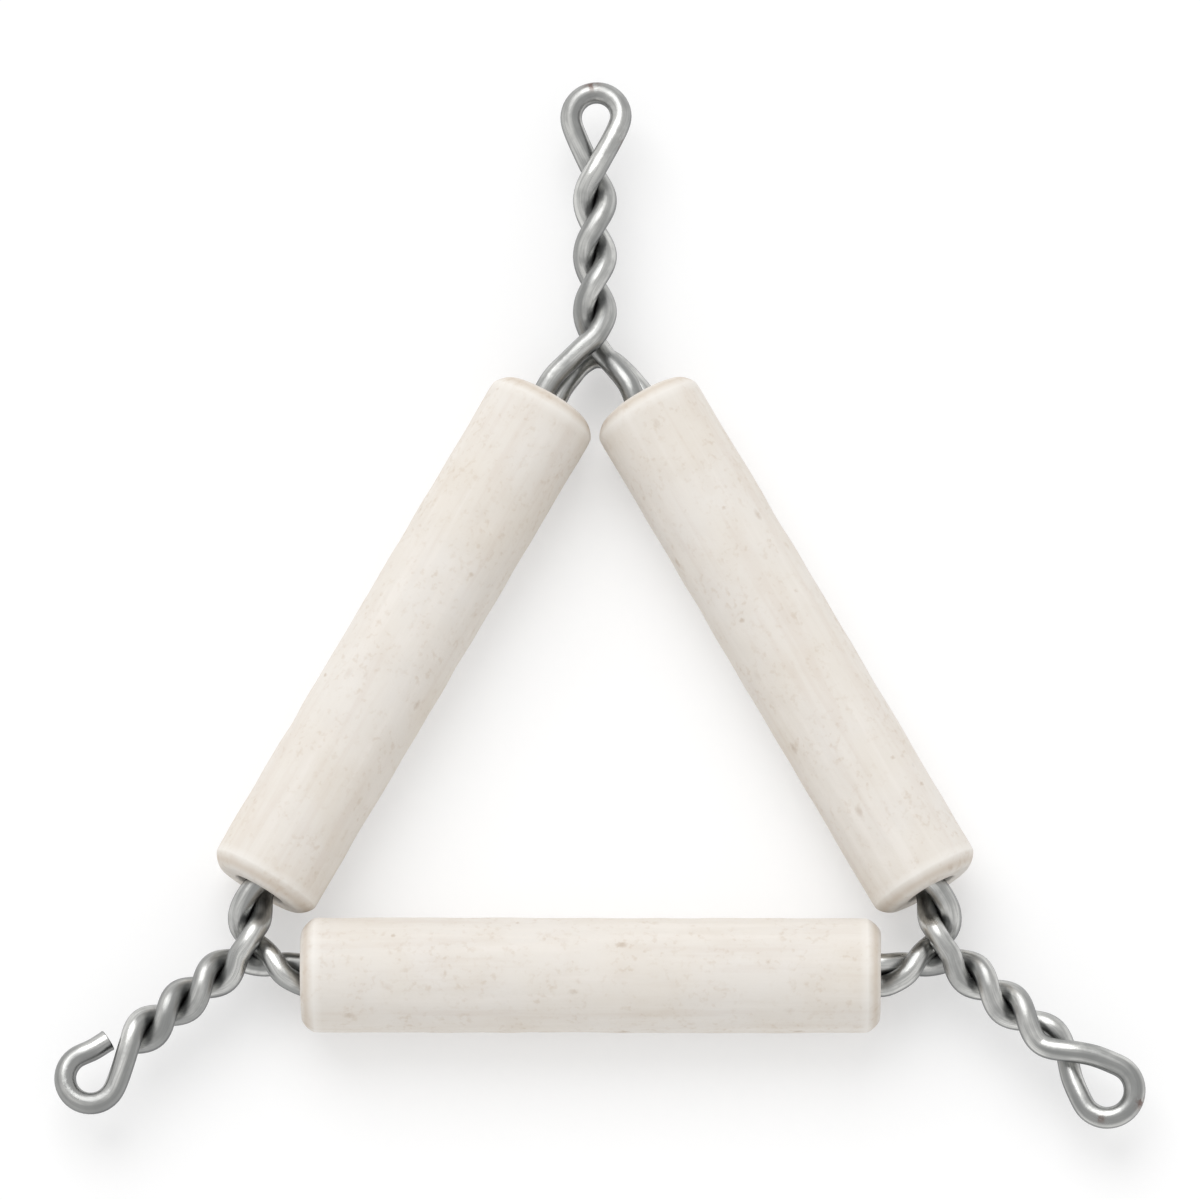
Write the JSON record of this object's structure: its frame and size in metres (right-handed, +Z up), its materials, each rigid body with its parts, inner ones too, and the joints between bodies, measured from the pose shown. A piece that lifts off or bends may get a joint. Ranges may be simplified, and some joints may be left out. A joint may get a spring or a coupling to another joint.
{
  "type": "pipe clay triangle",
  "caption": "Triangle of clay tubes strung on one twisted wire with an eye at each corner, laid on a ring or tripod to hold a crucible over a burner.",
  "frame": {"origin": "centre of the triangle of tube axes, on the surface that the tubes lie on", "axes": "+Z up, out of the triangle's plane; +Y from the centre towards the top corner, whose arm has the straight eye; +X along the base tube, from the corner with the open eye to the other"},
  "size_m": [0.0938, 0.0926, 0.01],
  "materials": {
    "wire": "dull galvanised wire",
    "clay": "matte fired clay, off-white with fine warm specks"
  },
  "bodies": {
    "frame": {"wire_frame": "wire"},
    "left_tube": {"clay_tube_left": "clay"},
    "right_tube": {"clay_tube_right": "clay"},
    "base_tube": {"clay_tube_base": "clay"}
  },
  "joints": [
    {"name": "left_tube_turn", "type": "hinge", "parent": "frame", "child": "left_tube", "pos_m": [-0.01654, 0.00984, 0.005], "axis": [0.5, 0.866, 0], "continuous": true},
    {"name": "right_tube_turn", "type": "hinge", "parent": "frame", "child": "right_tube", "pos_m": [0.01654, 0.00984, 0.005], "axis": [-0.5, 0.866, 0], "continuous": true},
    {"name": "base_tube_turn", "type": "hinge", "parent": "frame", "child": "base_tube", "pos_m": [-0.00035, -0.01924, 0.005], "axis": [1, 0, 0], "continuous": true}
  ]
}
